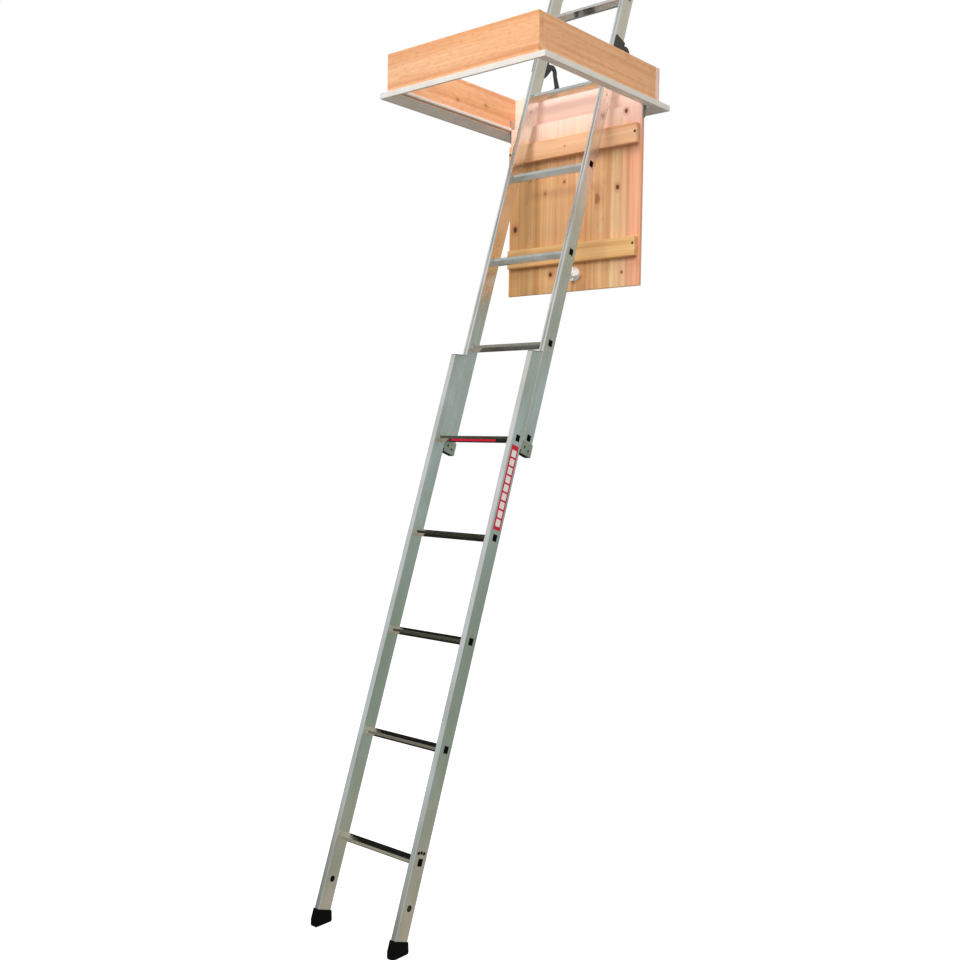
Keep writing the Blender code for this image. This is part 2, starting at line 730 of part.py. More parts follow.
def build_hatch(pine, paint, steel, black):
    half_x = OPENING_X / 2
    t = LINING_THICKNESS
    low, high = FIT - REBATE_DEPTH, LINING_HEIGHT
    linings = {
        "lining_back": ((-half_x - t, BACK_FACE_Y), (half_x + t, BACK_FACE_Y + t)),
        "lining_front": ((-half_x - t, FRONT_FACE_Y - t), (half_x + t, FRONT_FACE_Y)),
        "lining_left": ((-half_x - t, FRONT_FACE_Y + FIT), (-half_x, BACK_FACE_Y - FIT)),
        "lining_right": ((half_x, FRONT_FACE_Y + FIT), (half_x + t, BACK_FACE_Y - FIT)),
    }
    for name, ((x0, y0), (x1, y1)) in linings.items():
        place(name, solid(name, block((x0, y0, low), (x1, y1, high), 0.0010)), pine)

    middle_y = (FRONT_FACE_Y + BACK_FACE_Y) / 2
    half_y = OPENING_Y / 2
    side, back, front = SIDE_STRIP, BACK_STRIP, FRONT_STRIP
    strips = {
        "architrave_front": (half_x, front, (side, side), 0, (0.0, FRONT_FACE_Y, 0.0)),
        "architrave_right": (half_y, side, (front, back), 90, (half_x, middle_y, 0.0)),
        "architrave_back": (half_x, back, (side, side), 180, (0.0, BACK_FACE_Y, 0.0)),
        "architrave_left": (half_y, side, (back, front), 270, (-half_x, middle_y, 0.0)),
    }
    for name, strip in strips.items():
        place(name, architrave(name, *strip), paint)

    bead_low = HINGE_PIN_Z + DOOR_INNER_W + 2 * FIT
    bead_high = bead_low + BEAD_HEIGHT
    b = BEAD_THICKNESS
    side_start, side_end = FRONT_FACE_Y + b + FIT, HINGE_PIN_Y - DOOR_INNER_W - BEAD_END_GAP
    beads = {
        "stop_bead_front": ((-half_x + FIT, FRONT_FACE_Y + FIT), (half_x - FIT, FRONT_FACE_Y + b)),
        "stop_bead_left": ((-half_x + FIT, side_start), (-half_x + b, side_end)),
        "stop_bead_right": ((half_x - b, side_start), (half_x - FIT, side_end)),
    }
    for name, ((x0, y0), (x1, y1)) in beads.items():
        place(name, solid(name, block((x0, y0, bead_low), (x1, y1, bead_high), 0.0015)), paint)
    place("catch_strike", strike("catch_strike"), steel)

    bracket = pivot_bracket("pivot_bracket")
    reach = (DOOR_WIDTH / 2 + 2 * FIT, OPENING_X / 2 - 2 * FIT)
    middle_x, half_length = sum(reach) / 2, (reach[1] - reach[0]) / 2
    hinge_pin = solid(
        "hatch_pivot_pin", rod(0, (0.0, 0.0), HINGE_PIN_RADIUS, -half_length, half_length, 12)
    )
    pin_low, pin_high = -ARM_THICKNESS - 0.004, 0.008
    head_low = LUG_THICKNESS / 2 + 2 * FIT
    pivot_pin = solid(
        "pivot_pin",
        rod(0, (0.0, 0.0), PIVOT_PIN_RADIUS, pin_low, pin_high, 16),
        [rod(0, (0.0, 0.0), PIN_HEAD_RADIUS, head_low, pin_high, 6)],
    )
    pivot_pin_left = pivot_pin.copy()
    pivot_pin_left.transform(Matrix.Scale(-1, 4, Vector((1, 0, 0))))
    pivot_pin_left.flip_normals()
    for word, side in (("left", -1), ("right", 1)):
        name = f"hatch_pivot_plate_{word}"
        place(name, hatch_pivot_plate(name, side), steel)
        at = (side * middle_x, HINGE_PIN_Y, HINGE_PIN_Z)
        place(f"hatch_pivot_pin_{word}", hinge_pin, steel, location=at)
        place(f"pivot_bracket_{word}", bracket, black, location=(side * LUG_X, 0.0, 0.0))
        pin_mesh = pivot_pin if side > 0 else pivot_pin_left
        at = (side * LUG_X, PIVOT_Y, PIVOT_HEIGHT)
        place(f"pivot_pin_{word}", pin_mesh, steel, location=at)


def build_trapdoor(pine, steel, white):
    pivot = empty("trapdoor_pivot", (0.0, HINGE_PIN_Y, HINGE_PIN_Z), math.pi)
    joints = (0.0, *BOARD_JOINTS, DOOR_WIDTH)
    for i, (start, end) in enumerate(zip(joints, joints[1:])):
        name = f"door_board_{i + 1}"
        low = (start - DOOR_WIDTH / 2 + FIT / 2, DOOR_OUTER_W, DOOR_START_U)
        high = (end - DOOR_WIDTH / 2 - FIT / 2, DOOR_INNER_W, DOOR_START_U + DOOR_LENGTH)
        place(name, solid(name, block(low, high, 0.0006)), pine, pivot)
    half = DOOR_WIDTH / 2 - LEDGE_INSET
    low_w = DOOR_INNER_W + FIT
    for word, (start, end) in zip(("upper", "lower"), LEDGE_SPANS):
        name = f"door_ledge_{word}"
        bar = block((-half, low_w, start), (half, low_w + LEDGE_THICKNESS, end), 0.0020)
        place(name, solid(name, bar), pine, pivot)
    for word, side in (("left", -1), ("right", 1)):
        name = f"door_pivot_plate_{word}"
        place(name, door_pivot_plate(name, side), steel, pivot)
    place("catch_body", catch_body("catch_body"), white, pivot)
    axis = empty("catch_pivot", (CATCH_X, 0.0, CATCH_U), parent=pivot)
    place("catch_tongue", catch_tongue("catch_tongue"), white, axis, (-CATCH_X, 0.0, -CATCH_U))


def build_ladder(aluminium, rubber, plastic, steel, black):
    origin = ladder_point(0.0, 0.0)
    ladder = empty("ladder_frame", (0.0, *origin), -LEAN)
    lower_rungs = [i * RUNG_PITCH for i in range(LOWER_RUNGS)]
    upper_rungs = [FIRST_UPPER_RUNG + i * RUNG_PITCH for i in range(UPPER_RUNGS)]
    foot_hole = (TENON_MIDDLE, -FOOT_HOLE_BELOW)
    for word, side in (("left", -1), ("right", 1)):
        x = side * STILE_X
        holes = [rod(0, foot_hole, FOOT_HOLE_RADIUS, -STILE_WIDTH, STILE_WIDTH, 16)]
        name = f"lower_stile_{word}"
        cuts = [*holes, above_level_top()]
        mesh = stile(name, 0.0, True, STILE_FOOT, LOWER_TOP + LEVEL_RISE, lower_rungs, cuts)
        place(name, mesh, aluminium, ladder, (x, 0.0, 0.0))
        name = f"upper_stile_{word}"
        low, high = UPPER_BOTTOM + PLUG_HEIGHT, UPPER_TOP - CAP_THICKNESS
        mesh = stile(name, UPPER_FRONT, False, low, high, upper_rungs)
        place(name, mesh, aluminium, ladder, (x, 0.0, 0.0))
        fittings = {
            f"foot_{word}": (shoe, rubber),
            f"lower_cap_{word}": (lower_cap, plastic),
            f"upper_plug_{word}": (upper_plug, rubber),
            f"upper_cap_{word}": (upper_cap, plastic),
            f"guide_bracket_{word}": (guide_bracket, steel),
        }
        for name, (maker, finish) in fittings.items():
            place(name, maker(name), finish, ladder, (x, 0.0, 0.0))
        name = f"slide_shoe_{word}"
        place(name, slide_shoe(name, side), black, ladder, (x, 0.0, 0.0))
        name = f"pivot_arm_{word}"
        place(name, pivot_arm(name), black, ladder, (side * ARM_X, 0.0, 0.0))
    rung_mesh = rung("rung")
    for i, s in enumerate(lower_rungs):
        place(f"lower_rung_{i + 1}", rung_mesh, aluminium, ladder, (0.0, 0.0, s))
    for i, s in enumerate(upper_rungs):
        place(f"upper_rung_{i + 1}", rung_mesh, aluminium, ladder, (0.0, UPPER_FRONT, s))


clear_scene()
aluminium = material("aluminium", (0.72, 0.74, 0.72), 0.35, 1.0)
steel = material("zinc_plated_steel", (0.62, 0.63, 0.60), 0.35, 1.0)
black = material("black_steel", (0.02, 0.02, 0.02), 0.45)
rubber = material("black_rubber", (0.02, 0.02, 0.02), 0.75)
grey_plastic = material("grey_plastic", (0.30, 0.31, 0.30), 0.55)
white_plastic = material("white_plastic", (0.85, 0.85, 0.82), 0.40)
pine = material("pine", (0.80, 0.52, 0.32), 0.55)
paint = material("cream_paint", (0.84, 0.82, 0.77), 0.50)
build_hatch(pine, paint, steel, black)
build_trapdoor(pine, steel, white_plastic)
build_ladder(aluminium, rubber, grey_plastic, steel, black)
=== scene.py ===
"""Looks of the sliding loft ladder: camera, light, materials and small fittings.

World axes as in the model: metres, +Z up, the climber on -Y. Ladder pieces are drawn in the
ladder frame: x across, d behind the lower section's front face, s up from the lowest rung.
"""

import json
import math

import bmesh
import bpy
from mathutils import Matrix, Vector


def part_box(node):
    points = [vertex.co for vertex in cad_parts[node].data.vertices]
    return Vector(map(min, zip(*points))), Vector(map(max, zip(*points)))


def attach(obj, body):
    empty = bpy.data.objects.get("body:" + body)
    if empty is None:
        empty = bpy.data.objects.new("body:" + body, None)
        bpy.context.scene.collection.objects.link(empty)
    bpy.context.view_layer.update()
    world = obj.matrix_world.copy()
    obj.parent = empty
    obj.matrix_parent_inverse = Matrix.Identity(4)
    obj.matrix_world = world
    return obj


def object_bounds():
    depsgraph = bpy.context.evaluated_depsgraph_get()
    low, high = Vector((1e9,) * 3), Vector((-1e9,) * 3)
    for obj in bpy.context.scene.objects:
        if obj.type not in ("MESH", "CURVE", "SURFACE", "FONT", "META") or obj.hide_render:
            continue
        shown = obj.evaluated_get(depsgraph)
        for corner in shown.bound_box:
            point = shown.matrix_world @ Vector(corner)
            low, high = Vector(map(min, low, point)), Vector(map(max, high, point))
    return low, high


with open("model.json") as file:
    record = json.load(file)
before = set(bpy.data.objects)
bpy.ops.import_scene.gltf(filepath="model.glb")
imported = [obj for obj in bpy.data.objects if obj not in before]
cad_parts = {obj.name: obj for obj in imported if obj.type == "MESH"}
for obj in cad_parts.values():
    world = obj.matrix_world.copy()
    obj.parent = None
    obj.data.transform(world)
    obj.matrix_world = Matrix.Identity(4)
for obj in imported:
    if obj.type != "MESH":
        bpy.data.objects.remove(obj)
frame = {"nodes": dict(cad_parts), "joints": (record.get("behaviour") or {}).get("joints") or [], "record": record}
cad_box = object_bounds()
nodes = frame["nodes"]

# Camera
CAMERA_PLACE = (2.2036, -3.0707, -1.0685)
CAMERA_YAW = 40.606  # degrees
CAMERA_PITCH = -1.819
CAMERA_ROLL = 1.002
CAMERA_LENS = 42.30  # mm, on a 36 mm sensor

# Ladder frame, read from the slide's axis and the lowest rung's rim
SLIDE = next(joint for joint in frame["joints"] if joint["name"] == "upper_slide")
UP_STILE = Vector(SLIDE["axis"]).normalized()
INTO_STILE = Vector((0.0, UP_STILE.z, -UP_STILE.y))
RIM_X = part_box("lower_rung_1")[1].x - 0.0001  # just inside the rungs' open ends
RUNG_PITCH = 0.300
LOWER_RUNGS = 5
UPPER_RUNGS = 6


def reach(node, axis, beyond_x=-1.0):
    """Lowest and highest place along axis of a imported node's points past beyond_x."""
    places = [v.co @ axis for v in nodes[node].data.vertices if v.co.x > beyond_x]
    return min(places), max(places)


D_ZERO = reach("lower_stile_right", INTO_STILE)[0]
S_ZERO = sum(reach("lower_rung_1", UP_STILE, RIM_X)) / 2
RUNG_MIDDLE_D = sum(reach("lower_rung_1", INTO_STILE, RIM_X)) / 2 - D_ZERO
UPPER_FRONT_D = reach("upper_stile_right", INTO_STILE)[0] - D_ZERO
FIRST_UPPER_S = sum(reach("upper_rung_1", UP_STILE, RIM_X)) / 2 - S_ZERO
STILE_OUTER_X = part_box("lower_stile_right")[1].x
STILE_INNER_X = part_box("lower_stile_right")[0].x
TO_LADDER = Matrix(
    (
        (1.0, 0.0, 0.0, 0.0),
        (0.0, INTO_STILE.y, UP_STILE.y, INTO_STILE.y * D_ZERO + UP_STILE.y * S_ZERO),
        (0.0, INTO_STILE.z, UP_STILE.z, INTO_STILE.z * D_ZERO + UP_STILE.z * S_ZERO),
        (0.0, 0.0, 0.0, 1.0),
    )
)


def ladder_place(x, d, s):
    return TO_LADDER @ Vector((x, d, s))


# Turns a plate that lies in X and Y so that it lies in d and s, and faces x
PLATE_ON_STILE = Matrix(((0, 0, 1, 0), (1, 0, 0, 0), (0, 1, 0, 0), (0, 0, 0, 1)))

# Room and lights
# Colours of the room by height of direction, from straight down to straight up
ROOM = ((-1.0, (0.42, 0.41, 0.39)), (0.0, (0.52, 0.52, 0.52)), (1.0, (0.70, 0.72, 0.76)))
# (towards, dot product where a wall starts, where it is full, its colours by height)
ROOM_LOBES = (
    (
        (0.65, 0.76, 0.0),
        0.45,
        0.80,
        (
            (-0.46, (0.50, 0.40, 0.31)),
            (-0.37, (0.40, 0.35, 0.27)),
            (-0.27, (0.26, 0.34, 0.29)),
            (-0.15, (0.20, 0.24, 0.17)),
            (-0.06, (0.36, 0.43, 0.41)),
            (0.065, (0.44, 0.52, 0.53)),
            (0.08, (0.25, 0.27, 0.20)),
            (0.14, (0.38, 0.38, 0.31)),
            (0.30, (0.60, 0.55, 0.46)),
        ),
    ),
    (
        (-0.65, 0.72, 0.10),
        0.55,
        0.84,
        (
            (-0.30, (0.20, 0.20, 0.17)),
            (-0.04, (0.010, 0.011, 0.009)),
            (0.55, (0.014, 0.014, 0.012)),
        ),
    ),
    ((-0.67, 0.43, -0.61), 0.955, 0.980, ((-1.0, (0.02, 0.02, 0.015)), (1.0, (0.02, 0.02, 0.015)))),
    (
        (-0.68, -0.72, 0.10),
        0.50,
        0.85,
        (
            (-0.38, (0.42, 0.39, 0.32)),
            (-0.26, (0.20, 0.19, 0.15)),
            (-0.13, (0.02, 0.02, 0.015)),
            (0.03, (0.05, 0.05, 0.03)),
            (0.09, (0.34, 0.31, 0.24)),
            (0.14, (0.52, 0.58, 0.58)),
            (0.30, (0.62, 0.65, 0.69)),
            (0.55, (0.78, 0.74, 0.72)),
        ),
    ),
)
# name, place, aim, size, watts, colour
LAMPS = (
    ("key", (1.4, -4.6, 1.8), (0.0, -0.5, -1.0), 2.6, 158.0, (1.0, 0.99, 0.97)),
    ("fill", (3.4, -0.4, 0.4), (0.0, -0.4, -0.8), 2.0, 16.0, (1.0, 0.98, 0.95)),
    ("loft", (0.05, -0.62, 0.72), (0.05, -0.05, 0.02), 0.5, 8.0, (1.0, 0.91, 0.95)),
)
FLOOR_HALF = 30.0
FLOOR_DROP = 0.0002  # from the feet to the floor
FLOOR_GLOW = 0.62
FLOOR_TONES = (0.80, 0.80, 0.80), (0.78, 0.78, 0.78)

# Pine: (early wood, late wood) of each board, and the shades laid over them
BOARD_TONES = (
    ((0.76, 0.46, 0.20), (0.66, 0.36, 0.14)),
    ((0.84, 0.56, 0.30), (0.73, 0.44, 0.20)),
    ((0.84, 0.55, 0.30), (0.74, 0.43, 0.21)),
    ((0.84, 0.58, 0.32), (0.76, 0.46, 0.23)),
    ((0.82, 0.48, 0.29), (0.74, 0.38, 0.20)),
)
LINING_TONES = (0.87, 0.50, 0.29), (0.80, 0.44, 0.22)
UPPER_LEDGE_TONES = (0.84, 0.51, 0.29), (0.75, 0.41, 0.20)
LOWER_LEDGE_TONES = (0.78, 0.49, 0.21), (0.70, 0.39, 0.14)
DEEP_SHADE = (0.80, 0.60, 0.44)  # of late wood, in its darkest lines
PALE_STREAK = (0.93, 0.68, 0.42)
FLECK = (0.62, 0.20, 0.05)
# Painted light: the pale pink that light from the loft lays on the upper wood
PAINTED_LOFT_LIGHT = (0.93, 0.76, 0.71)
DEAD_KNOT = (0.085, 0.022, 0.010)
LIVE_KNOT = (0.40, 0.13, 0.055)
KNOT_HALO = (0.42, 0.12, 0.04)
DEAD_FROM = 0.7  # knots darker than this are dead ones

# ((x, z), radius, darkness) of the knots on the door's front face
DOOR_KNOTS = (
    ((-0.238, -0.336), 0.0105, 0.95),
    ((-0.176, -0.175), 0.0055, 0.90),
    ((-0.112, -0.230), 0.0060, 0.60),
    ((-0.084, -0.501), 0.0080, 0.95),
    ((-0.034, -0.201), 0.0050, 0.75),
    ((0.096, -0.273), 0.0170, 0.55),
    ((0.176, -0.246), 0.0080, 0.90),
    ((0.203, -0.011), 0.0075, 0.90),
    ((0.198, -0.516), 0.0042, 0.90),
)
# (centre, radius, darkness) of the knots on each lining
LINING_KNOTS = {
    "left": (((-0.2695, -0.33, 0.045), 0.006, 0.5), ((-0.2695, -0.19, 0.060), 0.005, 0.6)),
    "back": (((0.10, -0.0323, 0.050), 0.006, 0.4),),
}
STAVE_HALF = 0.28  # from the middle to where the tints begin and end
# (x where a stave starts, its tint)
STAVES = (
    (-STAVE_HALF, (1.00, 1.00, 1.00)),
    (-0.2105, (0.94, 0.98, 0.98)),
    (-0.1325, (1.03, 1.00, 1.00)),
    (0.010, (1.07, 1.04, 1.00)),
    (0.150, (1.03, 1.10, 1.14)),
    (0.2225, (1.04, 0.92, 0.94)),
)
LEDGE_KNOT_X = -0.02
LEDGE_KNOT_RADIUS = 0.004
LEDGE_KNOT_DARKNESS = 0.25
# Heights between which painted light from the loft pales the wood, on the door and on the back lining
DOOR_PAINTED_LIGHT = (-0.16, 0.02)
BACK_PAINTED_LIGHT = (-0.20, 0.06)

# Metals by finish: material's name, colour, roughness, and the axis of the die lines in the
# ladder frame for the extruded ones or the grains to the metre for the plated ones
METALS = {
    "stile_aluminium": ("stile_mill_aluminium", (0.86, 0.88, 0.87), 0.22, 2),
    "rung_aluminium": ("rung_bright_aluminium", (0.84, 0.84, 0.80), 0.12, 0),
    "bracket_aluminium": ("bracket_folded_aluminium", (0.62, 0.66, 0.58), 0.38, 260.0),
    "zinc_steel": ("zinc_plated_steel", (0.56, 0.57, 0.54), 0.34, 420.0),
    "dark_zinc": ("dark_zinc_steel", (0.10, 0.13, 0.11), 0.4, 420.0),
}
EXTRUDED = ("stile_aluminium", "rung_aluminium")

# Paint, rubber and plastic by finish: material's name, colour, worn colour, roughness,
# grains to the metre, their depth, clear coat and specular level
COATINGS = {
    "black_steel": (
        "black_powder_coat",
        (0.012, 0.014, 0.013), (0.030, 0.034, 0.032), 0.36, 900.0, 0.0002, 0.2, 0.5,
    ),
    "black_rubber": (
        "moulded_rubber",
        (0.002, 0.002, 0.002), (0.005, 0.005, 0.004), 0.6, 700.0, 0.0003, 0.0, 0.08,
    ),
    # Near-black for the plugs, and for the plates of painted shade in the rungs' open ends
    "plug_black": (
        "plug_black_plastic",
        (0.002, 0.002, 0.002), (0.005, 0.005, 0.005), 0.7, 500.0, 0.0001, 0.0, 0.08,
    ),
    "cream_paint": (
        "cream_satin_paint",
        (0.78, 0.74, 0.69), (0.71, 0.67, 0.61), 0.42, 90.0, 0.0004, 0.0, 0.5,
    ),
    "white_plastic": (
        "white_gloss_plastic",
        (0.84, 0.84, 0.81), (0.78, 0.78, 0.74), 0.28, 500.0, 0.0001, 0.0, 0.5,
    ),
    "grey_plastic": (
        "grey_matt_plastic",
        (0.30, 0.31, 0.28), (0.22, 0.23, 0.21), 0.50, 600.0, 0.0002, 0.0, 0.5,
    ),
    "label_red": (
        "label_red_film",
        (0.66, 0.006, 0.035), (0.58, 0.006, 0.03), 0.45, 400.0, 0.00005, 0.0, 0.5,
    ),
    "label_pale": (
        "label_pale_film",
        (0.92, 0.87, 0.88), (0.84, 0.76, 0.78), 0.40, 400.0, 0.00005, 0.0, 0.5,
    ),
}

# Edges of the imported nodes, by material slot
BEVELS = {
    "pine": 0.0012,
    "pine_ledge": 0.0022,
    "cream_paint": 0.0007,
    "zinc_steel": 0.0003,
    "black_steel": 0.0006,
    "white_plastic": 0.0008,
    "black_rubber": 0.0010,
    "grey_plastic": 0.0004,
    "bracket_aluminium": 0.0004,
    "rung_aluminium": 0.0003,
    "stile_aluminium": 0.00015,
}
BEVEL_ANGLE = math.radians(32)
JOIN_DISTANCE = 0.00001

# Fittings: their shapes, then their places on the ladder by (d, s)
SMOOTH_ANGLE = math.radians(35)
LATHE_STEPS = 24
# (radius, height) of each kind of head
HEADS = {
    "stile_bolts": (0.0040, 0.0008),
    "stile_plugs": (0.0048, 0.0004),
    "bracket_rivets": (0.0038, 0.0006),
    "ledge_screws": (0.0044, 0.0007),
    "pivot_plate_screws": (0.0030, 0.0007),
    "strike_screws": (0.0030, 0.0008),
    "bracket_screws": (0.0045, 0.0020),
}
# A head's outline, as parts of its radius and height
HEAD_OUTLINE = (
    (0.96, 0.0), (1.0, 0.25), (0.93, 0.70), (0.72, 1.0), (0.46, 1.0), (0.42, 0.85), (0.36, 0.15)
)
STILE_BOLT = (0.024, 2.361)  # d from the upper section's front face
GUIDE_RIVETS = ((0.014, 1.1865), (0.033, 1.1795))  # d as the bolt's
GUIDE_FACE = 0.0018  # from a stile's face to its guide bracket's
FOOT_DOTS = ((0.0115, 0.0232), (0.0222, 0.0252), (0.0335, 0.0236))
FOOT_HOLE_S = -0.119
FOOT_PLUG_INSET = 0.0016
FOOT_PLUG_RADII = (0.0076, 0.0086)  # at its ends and along its middle
FOOT_PLUG_CHAMFER = 0.0008
FOOT_RIVET = ((0.0048, 0.0), (0.0048, 0.0006), (0.0036, 0.0012), (0.0010, 0.0012))
# Plates of painted shade just inside the rungs' open ends, for the dark hollow of the tubes
END_SHADE_DEEP = 0.0176  # d, just inside the tube
END_SHADE_TALL = 0.0196  # s
END_SHADE_CORNER = 0.0012
END_SHADE_THICKNESS = 0.0010
END_SHADE_INSET = 0.0020  # from the stile's outer face to the shade plate's middle

# Screws on the hatch, from the edges of the parts that they hold
LEDGE_SCREW_Z = (("upper", -0.086), ("lower", -0.432))
LEDGE_SCREW_INSET = 0.006
PIVOT_SCREW_Z = (0.015, 0.031)
STRIKE_SCREW_INSET = 0.010
STRIKE_THICKNESS = 0.0015
BRACKET_SCREW_INSET = 0.009
BRACKET_SEAT = 0.0043  # above the back lining's top edge
WING_CORNER = 0.45  # of a plate's width
# (width, height, back, front) of the catch's wing and rib, depths from the catch's front
WING_PLATES = ((0.0150, 0.0460, 0.0052, 0.0012), (0.0044, 0.0420, 0.0016, 0.0001))

# Labels
LABEL_D = 0.0235
LABEL_WIDTH = 0.031
LABEL_LENGTH = RUNG_PITCH - 0.046
LABEL_S = 3.5 * RUNG_PITCH
LABEL_CORNER = 0.0010
LABEL_THICKNESS = 0.0002
LABEL_LIFT = 0.0001  # off the face that it sticks to
PANELS = 9
PANEL_THICKNESS = 0.0001
PANEL_CORNER = 0.0015
PANEL_SIDES = 0.011  # red beside a panel, both sides together
PANEL_ENDS = 0.020  # red past the row of panels, both ends together
PANEL_GAP = 0.0055
PANEL_SHIFT = 0.002  # of the row, towards the feet
RUNG_LABEL_X = 0.0
RUNG_LABEL_HALF = 0.088
RUNG_LABEL_TALL = 0.0062
RUNG_LABEL_CORNER = 0.0008
TREAD_CLEAR = 0.0005  # from the stiles, for points that belong to the tread alone
NOSE_DEPTH = 0.0002  # of the tread points that count as its nose


# Node trees


def add(tree, kind, inputs=None, **settings):
    """A new node with its settings, and its inputs set to values or linked to sockets."""
    made = tree.nodes.new(kind)
    for key, value in settings.items():
        setattr(made, key, value)
    for key, value in (inputs or {}).items():
        if isinstance(value, bpy.types.NodeSocket):
            tree.links.new(value, made.inputs[key])
        else:
            made.inputs[key].default_value = value
    return made


def maths(tree, operation, a, b=0.0):
    return add(tree, "ShaderNodeMath", {0: a, 1: b}, operation=operation).outputs[0]


def vector_maths(tree, operation, a, b):
    return add(tree, "ShaderNodeVectorMath", {0: a, 1: b}, operation=operation)


def scaled(tree, vector, scale):
    return vector_maths(tree, "MULTIPLY", vector, scale).outputs[0]


def span(tree, value, low, high, out_low, out_high, smooth=False):
    """value mapped from low..high to out_low..out_high, and clamped."""
    inputs = {0: value, 1: low, 2: high, 3: out_low, 4: out_high}
    kind = "SMOOTHSTEP" if smooth else "LINEAR"
    return add(tree, "ShaderNodeMapRange", inputs, interpolation_type=kind).outputs[0]


def mix(tree, factor, a, b, mode="MIX"):
    inputs = {0: factor, 6: a, 7: b}
    return add(tree, "ShaderNodeMix", inputs, data_type="RGBA", blend_type=mode).outputs[2]


def noise(tree, vector, detail=2.0, roughness=0.5):
    inputs = {"Vector": vector, "Scale": 1.0, "Detail": detail, "Roughness": roughness}
    return add(tree, "ShaderNodeTexNoise", inputs).outputs["Fac"]


def ramp(tree, factor, stops, interpolation="LINEAR"):
    """A colour ramp through (place, colour) stops."""
    made = add(tree, "ShaderNodeValToRGB", {0: factor})
    made.color_ramp.interpolation = interpolation
    points = made.color_ramp.elements
    while len(points) < len(stops):
        points.new(1.0)
    for point, (place, color) in zip(points, stops):
        point.position = place
        point.color = color
    return made.outputs["Color"]


def object_place(tree):
    return add(tree, "ShaderNodeTexCoord").outputs["Object"]


def along_ladder(tree, place):
    """Object coordinates turned into the ladder frame's x, d and s."""
    x = add(tree, "ShaderNodeSeparateXYZ", {0: place}).outputs["X"]
    d = vector_maths(tree, "DOT_PRODUCT", place, INTO_STILE).outputs["Value"]
    s = vector_maths(tree, "DOT_PRODUCT", place, UP_STILE).outputs["Value"]
    return add(tree, "ShaderNodeCombineXYZ", {0: x, 1: d, 2: s}).outputs[0]


def bump(tree, shader, height, strength, distance):
    inputs = {"Height": height, "Strength": strength, "Distance": distance}
    made = add(tree, "ShaderNodeBump", inputs)
    tree.links.new(made.outputs[0], shader.inputs["Normal"])


def new_material(name, **values):
    """A Principled material with its uniform values set on the shader's own sockets."""
    made = bpy.data.materials.new(name)
    made.use_nodes = True
    shader = made.node_tree.nodes["Principled BSDF"]
    for key, value in values.items():
        shader.inputs[key.replace("_", " ")].default_value = value
    return made, made.node_tree, shader


def finish_material(tree, shader, color, roughness):
    tree.links.new(color, shader.inputs["Base Color"])
    tree.links.new(roughness, shader.inputs["Roughness"])


def opaque(red, green, blue):
    return (red, green, blue, 1.0)


def shade(color, part):
    """The colour with this part of its brightness, or of each channel's."""
    parts = part if isinstance(part, tuple) else (part,) * 3
    return opaque(*(channel * p for channel, p in zip(color, parts)))


# Wood


def near(tree, place, centre, radii):
    """1 at a centre, falling to 0 at an ellipsoid of these radii round it."""
    moved = vector_maths(tree, "SUBTRACT", place, centre).outputs[0]
    unit = scaled(tree, moved, [1.0 / r for r in radii])
    distance = vector_maths(tree, "LENGTH", unit, (0.0, 0.0, 0.0)).outputs["Value"]
    return span(tree, distance, 0.0, 1.0, 1.0, 0.0, smooth=True)


